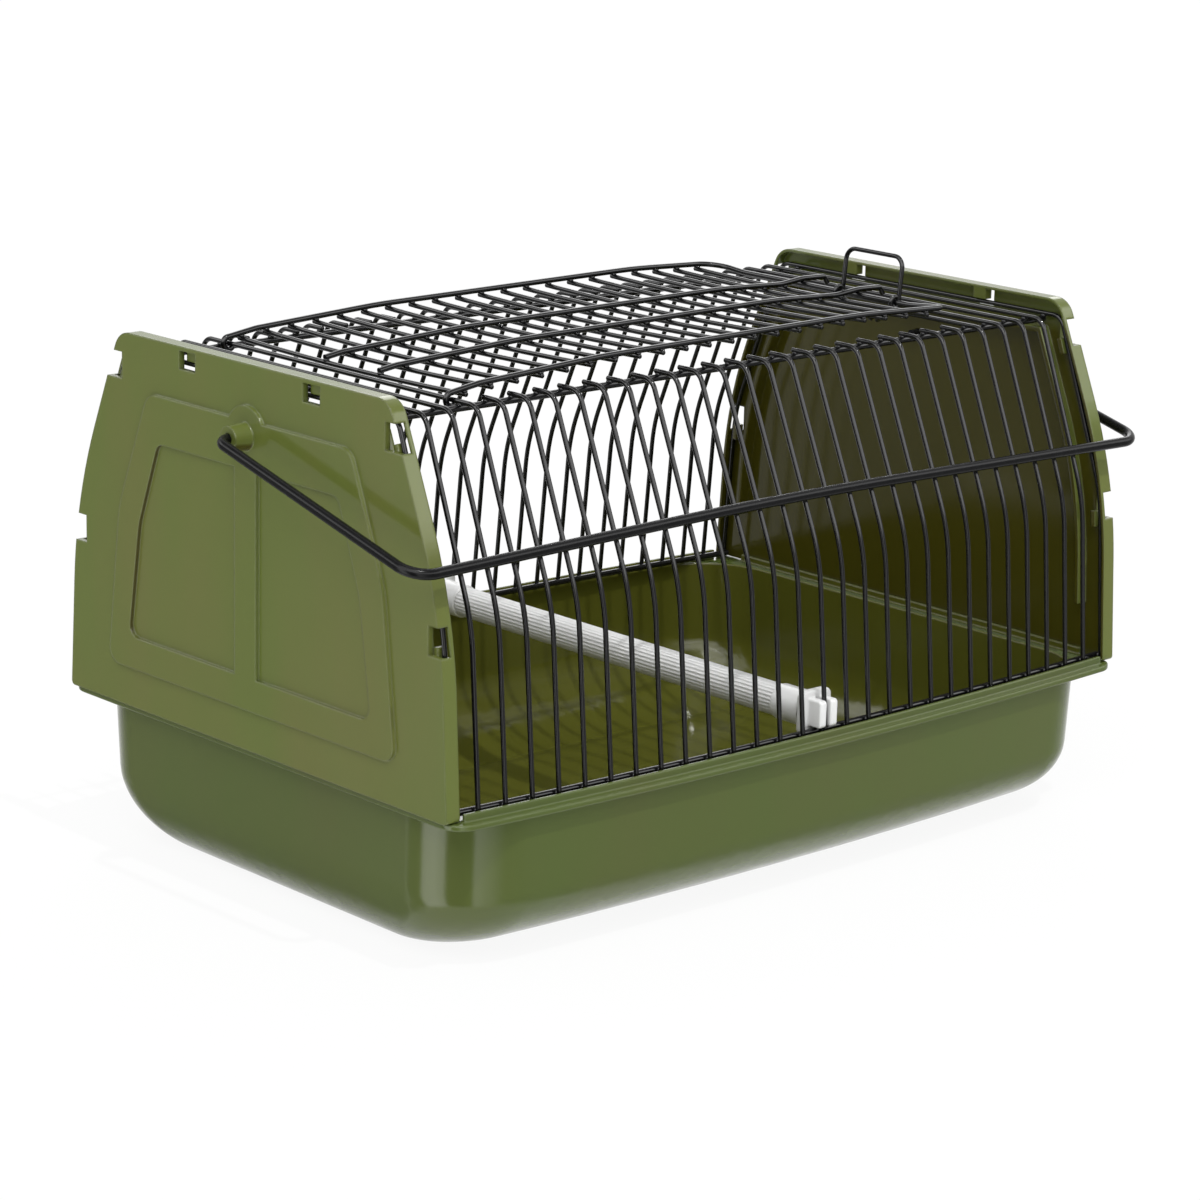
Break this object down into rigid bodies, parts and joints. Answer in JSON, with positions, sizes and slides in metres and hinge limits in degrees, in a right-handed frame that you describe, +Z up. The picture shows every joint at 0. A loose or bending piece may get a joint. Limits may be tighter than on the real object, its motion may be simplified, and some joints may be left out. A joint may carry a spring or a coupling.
{
  "type": "bird travel carrier",
  "caption": "Small travel carrier for a bird: a moulded tray and two moulded end panels joined by a welded wire cage with a top door, a swinging wire handle and a perch.",
  "frame": {"origin": "middle of the underside of the tray", "axes": "+X along the carrier, -Y the front, where the handle rests, +Z up"},
  "size_m": [0.3266, 0.209, 0.1875],
  "materials": {
    "tray_plastic": "satin",
    "panel_plastic": "satin",
    "black_wire": "gloss",
    "handle_wire": "gloss",
    "perch_plastic": "satin"
  },
  "bodies": {
    "tray": {"tray": "tray_plastic"},
    "cage": {"left_panel": "panel_plastic", "right_panel": "panel_plastic", "top_rod_front": "black_wire", "top_rod_back": "black_wire", "bottom_rod_front": "black_wire", "bottom_rod_back": "black_wire", "front_bars": "black_wire", "back_bars": "black_wire", "hoop_00": "black_wire", "hoop_01": "black_wire", "hoop_02": "black_wire", "hoop_03": "black_wire", "hoop_25": "black_wire", "hoop_26": "black_wire", "hoop_27": "black_wire", "hoop_28": "black_wire", "hoop_29": "black_wire"},
    "handle": {"carry_handle": "handle_wire"},
    "door": {"door_frame": "black_wire", "door_bars": "black_wire", "door_rod_front": "black_wire", "door_rod_back": "black_wire"},
    "latch": {"door_latch": "black_wire"},
    "perch": {"perch_rod": "perch_plastic", "perch_clip_front": "perch_plastic", "perch_clip_back": "perch_plastic"}
  },
  "joints": [
    {"name": "cage_lift", "type": "slide", "parent": "tray", "child": "cage", "axis": [0, 0, 1], "range_m": [0, 0.08]},
    {"name": "handle_swing", "type": "hinge", "parent": "cage", "child": "handle", "pos_m": [0, 0, 0.1507], "axis": [-1, 0, 0], "range_deg": [0, 210]},
    {"name": "door_hinge", "type": "hinge", "parent": "cage", "child": "door", "pos_m": [-0.11615, 0, 0.1672], "axis": [0, -1, 0], "range_deg": [0, 145]},
    {"name": "latch_turn", "type": "hinge", "parent": "door", "child": "latch", "pos_m": [0.0995, -0.0198, 0.1717], "axis": [0, 1, 0], "range_deg": [0, 60]},
    {"name": "perch_lift", "type": "slide", "parent": "cage", "child": "perch", "axis": [0, 0, 1], "range_m": [0, 0.012]}
  ]
}
